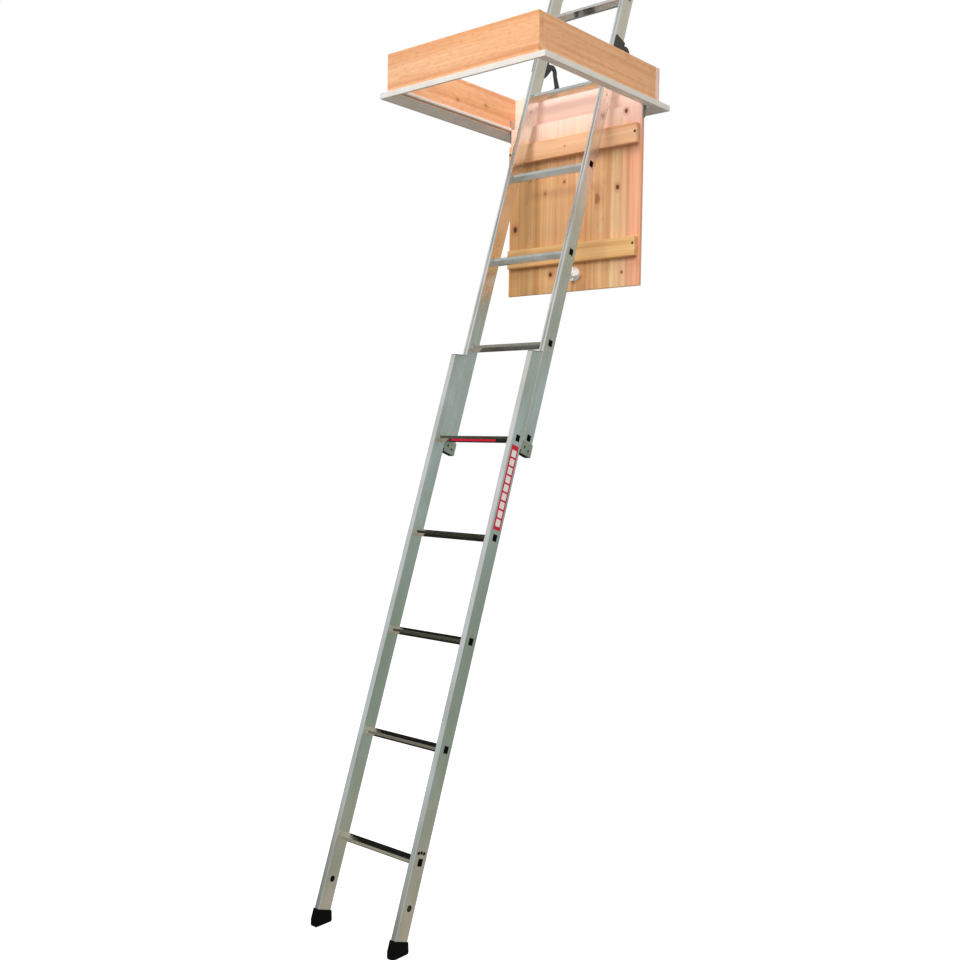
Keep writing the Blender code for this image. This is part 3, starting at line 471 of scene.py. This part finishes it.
def wood(name, grain_axis, tones, seed, knots=(), staves=(), rings=11.0, pale=None, speckle=0.0):
    """Planed pine: cathedral rings that bend round its knots, pores and staves of its own tones.

    knots are (centre, radius, darkness), staves are (place across the grain, tint) steps, and
    pale is the height where painted light from the loft begins to pale the wood and where it is palest.
    """
    made, tree, shader = new_material(name, IOR=1.45, Coat_Weight=0.12, Coat_Roughness=0.35)
    early, late = tones
    place = object_place(tree)
    offset = (seed * 3.1, seed * 1.7, seed * 2.3)
    moved = vector_maths(tree, "ADD", place, offset).outputs[0]

    def stretched(across, along):
        scale = [across] * 3
        scale[grain_axis] = along
        return scaled(tree, moved, scale)

    def along_grain(across, along):
        radii = [across] * 3
        radii[grain_axis] = along
        return radii

    height = noise(tree, stretched(11.0, 0.55), detail=1.0)
    for centre, radius, _ in knots:
        reached = near(tree, place, centre, along_grain(radius * 3.0, radius * 8.0))
        height = maths(tree, "ADD", height, maths(tree, "MULTIPLY", reached, 0.16))
    ring = maths(tree, "FRACT", maths(tree, "MULTIPLY", height, rings * 2.4))
    ring = maths(tree, "POWER", ring, 3.2)
    fibre = noise(tree, stretched(620.0, 9.0), detail=3.0)
    streak = noise(tree, stretched(55.0, 0.9), detail=3.0)
    tone = noise(tree, stretched(9.0, 0.6), detail=2.0)
    color = mix(tree, span(tree, tone, 0.35, 0.65, 0.0, 1.0), opaque(*early), opaque(*late))
    deep = shade(late, DEEP_SHADE)
    color = mix(tree, span(tree, streak, 0.48, 0.70, 0.0, 0.75), color, deep)
    color = mix(tree, span(tree, streak, 0.44, 0.26, 0.0, 0.55), color, opaque(*PALE_STREAK))
    color = mix(tree, maths(tree, "MULTIPLY", ring, 0.30), color, deep)
    color = mix(tree, span(tree, fibre, 0.45, 0.75, 0.0, 0.28), color, deep)
    if staves:
        across = add(tree, "ShaderNodeSeparateXYZ", {0: place}).outputs["X"]
        across = span(tree, across, -STAVE_HALF, STAVE_HALF, 0.0, 1.0)
        stops = [((x + STAVE_HALF) / (2 * STAVE_HALF), opaque(*tint)) for x, tint in staves]
        color = mix(tree, 1.0, color, ramp(tree, across, stops, "CONSTANT"), "MULTIPLY")
    if speckle:
        fleck = noise(tree, stretched(150.0, 45.0), detail=4.0, roughness=0.65)
        color = mix(tree, span(tree, fleck, 0.50, 0.66, 0.0, speckle), color, opaque(*FLECK))
    # Painted light from the loft: the wood pales towards the top of these heights
    if pale:
        z = add(tree, "ShaderNodeSeparateXYZ", {0: place}).outputs["Z"]
        lit = span(tree, z, *pale, 0.0, 0.62, smooth=True)
        color = mix(tree, lit, color, opaque(*PAINTED_LOFT_LIGHT))
    for centre, radius, darkness in knots:
        radii = along_grain(radius, radius * 1.25)
        halo = near(tree, place, centre, [r * 2.6 for r in radii])
        halo = maths(tree, "MULTIPLY", halo, 0.75 * darkness)
        color = mix(tree, halo, color, opaque(*KNOT_HALO))
        core = near(tree, place, centre, radii)
        core = span(tree, core, 0.02, 0.30, 0.0, max(darkness, 0.8))
        color = mix(tree, core, color, opaque(*(DEAD_KNOT if darkness > DEAD_FROM else LIVE_KNOT)))
    roughness = span(tree, fibre, 0.3, 0.7, 0.46, 0.62)
    finish_material(tree, shader, color, roughness)
    relief = maths(tree, "ADD", maths(tree, "MULTIPLY", ring, -0.5), fibre)
    bump(tree, shader, relief, 0.25, 0.0003)
    return made


# Metals, paint, rubber and plastics


def extrusion(name, color, roughness, length_axis):
    """Mill-finish aluminium with die lines along its length, handling marks and dull patches."""
    made, tree, shader = new_material(name, Metallic=1.0)
    place = along_ladder(tree, object_place(tree))

    def drawn(across, along):
        scale = [across] * 3
        scale[length_axis] = along
        return scaled(tree, place, scale)

    line = noise(tree, drawn(900.0, 2.5), detail=3.0)
    broad = noise(tree, drawn(110.0, 0.8), detail=2.0)
    cloud = noise(tree, scaled(tree, place, (16.0, 16.0, 9.0)), detail=4.0)
    scuff = noise(tree, scaled(tree, place, (240.0, 240.0, 60.0)), detail=4.0, roughness=0.7)
    dull = shade(color, (0.80, 0.82, 0.76))
    tone = mix(tree, span(tree, cloud, 0.35, 0.70, 0.0, 0.8), opaque(*color), dull)
    tone = mix(tree, span(tree, line, 0.35, 0.75, 0.0, 0.30), tone, shade(color, 0.72))
    tone = mix(tree, span(tree, scuff, 0.62, 0.78, 0.0, 0.35), tone, shade(color, 0.60))
    wear = maths(tree, "ADD", broad, cloud)
    rough = span(tree, wear, 0.7, 1.3, roughness - 0.07, roughness + 0.10)
    finish_material(tree, shader, tone, rough)
    bump(tree, shader, maths(tree, "ADD", line, broad), 0.10, 0.0002)
    return made


def plated(name, color, roughness, grain):
    """Plated or folded metal: soft spangle and small stains."""
    made, tree, shader = new_material(name, Metallic=1.0)
    place = object_place(tree)
    spangle = noise(tree, scaled(tree, place, [grain] * 3), detail=3.0)
    stain = noise(tree, scaled(tree, place, [70.0] * 3), detail=4.0)
    dark = shade(color, 0.55)
    tone = mix(tree, span(tree, spangle, 0.35, 0.65, 0.0, 0.35), opaque(*color), dark)
    tone = mix(tree, span(tree, stain, 0.50, 0.72, 0.0, 0.45), tone, dark)
    rough = span(tree, spangle, 0.3, 0.7, roughness - 0.08, roughness + 0.12)
    finish_material(tree, shader, tone, rough)
    bump(tree, shader, spangle, 0.12, 0.0002)
    return made


def coated(name, color, worn, roughness, grain, depth, coat=0.0, specular=0.5):
    """Paint, rubber or plastic: a fine grain, a faint cloudy tone and a worn second colour."""
    made, tree, shader = new_material(name, Coat_Weight=coat, Specular_IOR_Level=specular)
    place = object_place(tree)
    skin = noise(tree, scaled(tree, place, [grain] * 3), detail=2.0)
    cloud = noise(tree, scaled(tree, place, [22.0] * 3), detail=4.0)
    tone = mix(tree, span(tree, cloud, 0.40, 0.72, 0.0, 0.8), opaque(*color), opaque(*worn))
    tone = mix(tree, span(tree, skin, 0.50, 0.80, 0.0, 0.35), tone, opaque(*worn))
    rough = span(tree, cloud, 0.3, 0.7, roughness - 0.07, roughness + 0.07)
    finish_material(tree, shader, tone, rough)
    bump(tree, shader, skin, 0.3, depth)
    return made


# World, lights, floor and camera


def camera():
    data = bpy.data.cameras.new("camera")
    data.sensor_width = 36.0
    data.lens = CAMERA_LENS
    made = bpy.data.objects.new("camera", data)
    bpy.context.scene.collection.objects.link(made)
    turn = (
        Matrix.Rotation(math.radians(CAMERA_YAW), 4, "Z")
        @ Matrix.Rotation(math.radians(90 + CAMERA_PITCH), 4, "X")
        @ Matrix.Rotation(math.radians(CAMERA_ROLL), 4, "Z")
    )
    made.matrix_world = Matrix.Translation(CAMERA_PLACE) @ turn
    bpy.context.scene.camera = made


def lobe(tree, direction, aim, start, end):
    """1 where a direction points within the lobe round aim, 0 outside it, by dot product."""
    unit = Vector(aim).normalized()
    dot = vector_maths(tree, "DOT_PRODUCT", direction, unit).outputs["Value"]
    return span(tree, dot, start, end, 0.0, 1.0, smooth=True)


def studio():
    """White to the camera; every other ray meets a room with darker walls round the ladder."""
    world = bpy.data.worlds.new("studio")
    bpy.context.scene.world = world
    world.use_nodes = True
    tree = world.node_tree
    background = tree.nodes["Background"]
    direction = add(tree, "ShaderNodeTexCoord").outputs["Generated"]
    height = add(tree, "ShaderNodeSeparateXYZ", {0: direction}).outputs["Z"]
    height = span(tree, height, -1.0, 1.0, 0.0, 1.0)
    room = ramp(tree, height, [((z + 1) / 2, opaque(*color)) for z, color in ROOM])
    for aim, start, end, bands in ROOM_LOBES:
        wall = ramp(tree, height, [((z + 1) / 2, opaque(*color)) for z, color in bands])
        room = mix(tree, lobe(tree, direction, aim, start, end), room, wall)
    seen = add(tree, "ShaderNodeLightPath").outputs["Is Camera Ray"]
    shown = mix(tree, seen, room, opaque(1.0, 1.0, 1.0))
    tree.links.new(shown, background.inputs["Color"])
    background.inputs["Strength"].default_value = 1.0


def area_light(name, place, aim, size, watts, color):
    """A square lamp that metal doesn't mirror."""
    data = bpy.data.lights.new(name, "AREA")
    data.shape = "SQUARE"
    data.size = size
    data.energy = watts
    data.color = color
    made = bpy.data.objects.new(name, data)
    bpy.context.scene.collection.objects.link(made)
    made.location = place
    toward = Vector(aim) - Vector(place)
    made.rotation_euler = toward.to_track_quat("-Z", "Y").to_euler()
    made.visible_glossy = False


def floor(level):
    """A pale floor that keeps its own even light, so that it shows soft contact shadows only."""
    shape = bmesh.new()
    corners = ((-1, -1), (1, -1), (1, 1), (-1, 1))
    shape.faces.new(
        [shape.verts.new((x * FLOOR_HALF, y * FLOOR_HALF, level)) for x, y in corners]
    )
    mesh = bpy.data.meshes.new("studio_floor")
    shape.to_mesh(mesh)
    shape.free()
    made = bpy.data.objects.new("studio_floor", mesh)
    bpy.context.scene.collection.objects.link(made)
    paint = coated("floor_paint", *FLOOR_TONES, 0.9, 200.0, 0.00005)
    shader = paint.node_tree.nodes["Principled BSDF"]
    shader.inputs["Emission Color"].default_value = opaque(1.0, 1.0, 1.0)
    shader.inputs["Emission Strength"].default_value = FLOOR_GLOW
    mesh.materials.append(paint)
    made.visible_diffuse = False
    made.visible_glossy = False


# Small fittings, in mesh code


def piece(name, shape, finish, body, to_world=None):
    """A named object of this shape that moves with a body, its mesh laid out in world axes."""
    mesh = bpy.data.meshes.new(name)
    if to_world is not None:
        bmesh.ops.transform(shape, matrix=to_world, verts=shape.verts)
    bmesh.ops.recalc_face_normals(shape, faces=shape.faces)
    shape.to_mesh(mesh)
    shape.free()
    mesh.materials.append(finish)
    mesh.shade_smooth()
    mesh.set_sharp_from_angle(angle=SMOOTH_ANGLE)
    made = bpy.data.objects.new(name, mesh)
    bpy.context.scene.collection.objects.link(made)
    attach(made, body)


def lathe(profile):
    """Rings of (radius, height) about Z, closed by a face at each end."""
    shape = bmesh.new()
    rings = []
    for radius, height in profile:
        ring = []
        for i in range(LATHE_STEPS):
            angle = math.tau * i / LATHE_STEPS
            place = (radius * math.cos(angle), radius * math.sin(angle), height)
            ring.append(shape.verts.new(place))
        rings.append(ring)
    for low, high in zip(rings, rings[1:]):
        for i in range(LATHE_STEPS):
            j = (i + 1) % LATHE_STEPS
            shape.faces.new((low[i], low[j], high[j], high[i]))
    shape.faces.new(rings[0])
    shape.faces.new(rings[-1])
    return shape


def facing(place, direction):
    """Places a shape that is built about +Z so that it stands at place and points in direction."""
    turn = Vector(direction).to_track_quat("Z", "Y").to_matrix().to_4x4()
    return Matrix.Translation(place) @ turn


def rounded_plate(width, height, corner, thickness):
    """A plate in X and Y about its own middle, from Z 0 to its thickness, with round corners."""
    shape = bmesh.new()
    outline = []
    for x_side, y_side, start in ((1, 1, 0), (-1, 1, 90), (-1, -1, 180), (1, -1, 270)):
        for i in range(5):
            angle = math.radians(start + 22.5 * i)
            x = x_side * (width / 2 - corner) + corner * math.cos(angle)
            y = y_side * (height / 2 - corner) + corner * math.sin(angle)
            outline.append((x, y))
    below, above = [[shape.verts.new((x, y, z)) for x, y in outline] for z in (0.0, thickness)]
    for i in range(len(outline)):
        j = (i + 1) % len(outline)
        shape.faces.new((below[i], below[j], above[j], above[i]))
    shape.faces.new(below)
    shape.faces.new(above)
    return shape


def placed(shape, at):
    """The shape, moved by this matrix."""
    bmesh.ops.transform(shape, matrix=at, verts=shape.verts)
    return shape


def join(shapes):
    """One shape that holds all of these."""
    whole = bmesh.new()
    for shape in shapes:
        mesh = bpy.data.meshes.new("part")
        shape.to_mesh(mesh)
        shape.free()
        whole.from_mesh(mesh)
        bpy.data.meshes.remove(mesh)
    return whole


def screws(name, spots, finish, body):
    """Domed heads with a round driving socket at (place, direction) spots, as one piece."""
    radius, height = HEADS[name]
    outline = [(radius * wide, height * high) for wide, high in HEAD_OUTLINE]
    shapes = [placed(lathe(outline), facing(place, direction)) for place, direction in spots]
    piece(name, join(shapes), finish, body)


def ladder_screws(finishes):
    """Bolts, rivets and plugs on the stiles."""
    right = Vector((1.0, 0.0, 0.0))
    plug_black = finishes["plug_black"]
    bolts, dots, rivets = [], [], []
    for side in (-1, 1):
        for x, out in ((STILE_OUTER_X, 1), (STILE_INNER_X, -1)):
            face = right * side * out
            d, s = STILE_BOLT
            bolts.append((ladder_place(side * x, UPPER_FRONT_D + d, s), face))
            if out == 1:
                dots += [(ladder_place(side * x, d, s), face) for d, s in FOOT_DOTS]
            for d, s in GUIDE_RIVETS:
                place = ladder_place(side * x, UPPER_FRONT_D + d, s)
                rivets.append((place + face * GUIDE_FACE, face))
    screws("stile_bolts", bolts, finishes["zinc_steel"], "upper_section")
    screws("stile_plugs", dots, plug_black, "lower_section")
    screws("bracket_rivets", rivets, finishes["black_steel"], "upper_section")
    half = (STILE_OUTER_X - STILE_INNER_X) / 2
    end = half - FOOT_PLUG_INSET
    shoulder = end - FOOT_PLUG_CHAMFER
    small, large = FOOT_PLUG_RADII
    for word, side in (("left", -1), ("right", 1)):
        middle = ladder_place(side * (STILE_OUTER_X - half), RUNG_MIDDLE_D, FOOT_HOLE_S)
        at = facing(middle, right * side)
        plug = lathe([(small, -end), (large, -shoulder), (large, shoulder), (small, end)])
        name = f"foot_hole_plug_{word}"
        piece(name, plug, plug_black, "lower_section", at)
        head = lathe([(radius, end + rise) for radius, rise in FOOT_RIVET])
        name = f"foot_rivet_{word}"
        piece(name, head, finishes["dark_zinc"], "lower_section", at)


def rung_end_shades(finishes):
    """Painted shade: near-black plates just inside the open ends of the rungs' tubes, for the dark hollow inside
    them.
    """
    rows = (
        ("lower", LOWER_RUNGS, 0.0, RUNG_MIDDLE_D),
        ("upper", UPPER_RUNGS, FIRST_UPPER_S, UPPER_FRONT_D + RUNG_MIDDLE_D),
    )
    for word, rungs, first_s, d in rows:
        shapes = []
        for i in range(rungs):
            for side in (-1, 1):
                shape = rounded_plate(END_SHADE_DEEP, END_SHADE_TALL, END_SHADE_CORNER, END_SHADE_THICKNESS)
                x = side * (STILE_OUTER_X - END_SHADE_INSET) - END_SHADE_THICKNESS / 2
                place = Matrix.Translation((x, d, first_s + i * RUNG_PITCH))
                shapes.append(placed(shape, TO_LADDER @ place @ PLATE_ON_STILE))
        # near-black plates of painted shade
        finish = finishes["plug_black"]
        piece(f"{word}_rung_end_shades", join(shapes), finish, f"{word}_section")


def hatch_screws(finishes):
    """Screws in the ledges, the pivot plates, the strike and the arm brackets."""
    zinc = finishes["zinc_steel"]
    spots = []
    for word, z in LEDGE_SCREW_Z:
        low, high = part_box(f"door_ledge_{word}")
        for x in (low.x + LEDGE_SCREW_INSET, high.x - LEDGE_SCREW_INSET):
            spots.append((Vector((x, low.y, z)), (0.0, -1.0, 0.0)))
    screws("ledge_screws", spots, finishes["black_steel"], "trapdoor")
    spots = []
    for word, side in (("left", -1), ("right", 1)):
        low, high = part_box(f"hatch_pivot_plate_{word}")
        face_x = low.x if side > 0 else high.x
        for z in PIVOT_SCREW_Z:
            spots.append((Vector((face_x, (low.y + high.y) / 2, z)), (-side, 0.0, 0.0)))
    screws("pivot_plate_screws", spots, zinc, "hatch_frame")
    low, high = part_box("catch_strike")
    spots = []
    for x in (low.x + STRIKE_SCREW_INSET, high.x - STRIKE_SCREW_INSET):
        place = Vector((x, low.y + STRIKE_THICKNESS, high.z - STRIKE_SCREW_INSET))
        spots.append((place, (0.0, 1.0, 0.0)))
    screws("strike_screws", spots, zinc, "hatch_frame")
    seat_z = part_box("lining_back")[1].z + BRACKET_SEAT
    spots = []
    for word in ("left", "right"):
        low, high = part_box(f"pivot_bracket_{word}")
        for x in (low.x + BRACKET_SCREW_INSET, high.x - BRACKET_SCREW_INSET):
            spots.append((Vector((x, low.y + BRACKET_SCREW_INSET, seat_z)), (0.0, 0.0, 1.0)))
    screws("bracket_screws", spots, zinc, "hatch_frame")


def catch_wing(finishes):
    """Finger wing on the front of the turn catch, with a raised rib down its middle."""
    low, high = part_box("catch_body")
    place = Vector(((low.x + high.x) / 2, low.y, (low.z + high.z) / 2))
    upright = Matrix.Rotation(math.radians(90), 4, "X")
    shapes = []
    for width, height, back, front in WING_PLATES:
        shape = rounded_plate(width, height, width * WING_CORNER, back - front)
        shapes.append(placed(shape, Matrix.Translation(place + Vector((0, back, 0))) @ upright))
    piece("catch_wing", join(shapes), finishes["white_plastic"], "catch")


def labels(finishes):
    """Plain red strips with blank pale panels: one on the right stile, one on the fifth rung."""

    def on_stile(s, lift):
        place = Matrix.Translation((STILE_OUTER_X + lift, LABEL_D, s))
        return TO_LADDER @ place @ PLATE_ON_STILE

    red, pale = finishes["label_red"], finishes["label_pale"]
    strip = rounded_plate(LABEL_WIDTH, LABEL_LENGTH, LABEL_CORNER, LABEL_THICKNESS)
    at = on_stile(LABEL_S, LABEL_LIFT)
    piece("stile_label", strip, red, "lower_section", at)
    panels = []
    pitch = (LABEL_LENGTH - PANEL_ENDS) / PANELS
    for i in range(PANELS):
        wide, tall = LABEL_WIDTH - PANEL_SIDES, pitch - PANEL_GAP
        panel = rounded_plate(wide, tall, PANEL_CORNER, PANEL_THICKNESS)
        s = LABEL_S + (i - (PANELS - 1) / 2) * pitch - PANEL_SHIFT
        panels.append(placed(panel, on_stile(s, LABEL_LIFT + LABEL_THICKNESS)))
    piece("stile_label_panels", join(panels), pale, "lower_section")
    points = [v.co for v in nodes["lower_rung_5"].data.vertices]
    tread = [co for co in points if abs(co.x) < STILE_INNER_X - TREAD_CLEAR]
    nose_y = min(co.y for co in tread)
    nose_z = [co.z for co in tread if co.y < nose_y + NOSE_DEPTH]
    wide, tall = 2 * RUNG_LABEL_HALF, RUNG_LABEL_TALL
    band = rounded_plate(wide, tall, RUNG_LABEL_CORNER, LABEL_THICKNESS)
    place = (RUNG_LABEL_X, nose_y - LABEL_LIFT, (min(nose_z) + max(nose_z)) / 2)
    at = Matrix.Translation(place) @ Matrix.Rotation(math.radians(90), 4, "X")
    piece("rung_label", band, red, "lower_section", at)


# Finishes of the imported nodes


def pine_finishes():
    """One pine for each board and direction, so that no two boards share their rings."""
    made = {}
    front_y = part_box("door_board_1")[0].y
    for i, tones in enumerate(BOARD_TONES):
        name = f"door_board_{i + 1}"
        low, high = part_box(name)
        own = [
            ((x, front_y, z), radius, darkness)
            for (x, z), radius, darkness in DOOR_KNOTS
            if low.x < x < high.x
        ]
        # Painted light from the loft on the door boards' upper part
        made[name] = wood(f"pine_board_{i + 1}", 2, tones, i + 1.0, own, STAVES, pale=DOOR_PAINTED_LIGHT)
    for i, (word, axis) in enumerate((("left", 1), ("right", 1), ("back", 0), ("front", 0))):
        own = LINING_KNOTS.get(word, ())
        # Painted light from the loft on the back lining
        pale = BACK_PAINTED_LIGHT if word == "back" else None
        made[f"lining_{word}"] = wood(
            f"pine_lining_{word}", axis, LINING_TONES, 7.0 + i, own, pale=pale, speckle=0.35
        )
    ledges = (("upper", 12.0, UPPER_LEDGE_TONES), ("lower", 14.0, LOWER_LEDGE_TONES))
    for word, seed, tones in ledges:
        low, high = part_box(f"door_ledge_{word}")
        centre = (LEDGE_KNOT_X, low.y, (low.z + high.z) / 2)
        own = [(centre, LEDGE_KNOT_RADIUS, LEDGE_KNOT_DARKNESS)]
        made[f"door_ledge_{word}"] = wood(f"pine_ledge_{word}", 0, tones, seed, own, rings=16.0)
    return made


def all_finishes():
    """Finishes by node for the pine, and by slot or use for everything else."""
    made = pine_finishes()
    for slot, row in METALS.items():
        kind = extrusion if slot in EXTRUDED else plated
        made[slot] = kind(*row)
    for slot, row in COATINGS.items():
        made[slot] = coated(*row)
    return made


def joined_faces():
    """Node group that drops a node's custom normals, joins its loose triangles and shades all its faces smooth."""
    group = bpy.data.node_groups.new("joined faces", "GeometryNodeTree")
    for way in ("INPUT", "OUTPUT"):
        group.interface.new_socket("Geometry", in_out=way, socket_type="NodeSocketGeometry")
    given = group.nodes.new("NodeGroupInput").outputs[0]
    inputs = {0: given, "Name": "custom_normal"}
    plain = add(group, "GeometryNodeRemoveAttribute", inputs).outputs[0]
    inputs = {0: plain, "Distance": JOIN_DISTANCE}
    merged = add(group, "GeometryNodeMergeByDistance", inputs).outputs[0]
    inputs = {0: merged, "Shade Smooth": True}
    smooth = add(group, "GeometryNodeSetShadeSmooth", inputs, domain="FACE").outputs[0]
    add(group, "NodeGroupOutput", {0: smooth})
    return group


def dress(name, slot, finishes, joined):
    """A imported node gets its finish, and softened edges from modifiers."""
    node = nodes[name]
    node.data.materials.clear()
    node.data.materials.append(finishes.get(name) or finishes[slot])
    node.modifiers.new("joined faces", "NODES").node_group = joined
    soft = node.modifiers.new("soft edges", "BEVEL")
    soft.width = BEVELS[slot]
    soft.segments = 2
    soft.limit_method = "ANGLE"
    soft.angle_limit = BEVEL_ANGLE
    flat = node.modifiers.new("flat faces", "WEIGHTED_NORMAL")
    flat.mode = "FACE_AREA"
    flat.weight = 100


camera()
studio()
for lamp in LAMPS:
    area_light(*lamp)
floor(cad_box[0][2] - FLOOR_DROP)
bpy.context.scene.view_settings.view_transform = "Standard"
finishes = all_finishes()
slots = {part["node"]: part["material_slot"] for part in frame["record"]["subparts"]}
joined = joined_faces()
for node_name, slot in sorted(slots.items()):
    dress(node_name, slot, finishes, joined)
ladder_screws(finishes)
rung_end_shades(finishes)
hatch_screws(finishes)
catch_wing(finishes)
labels(finishes)
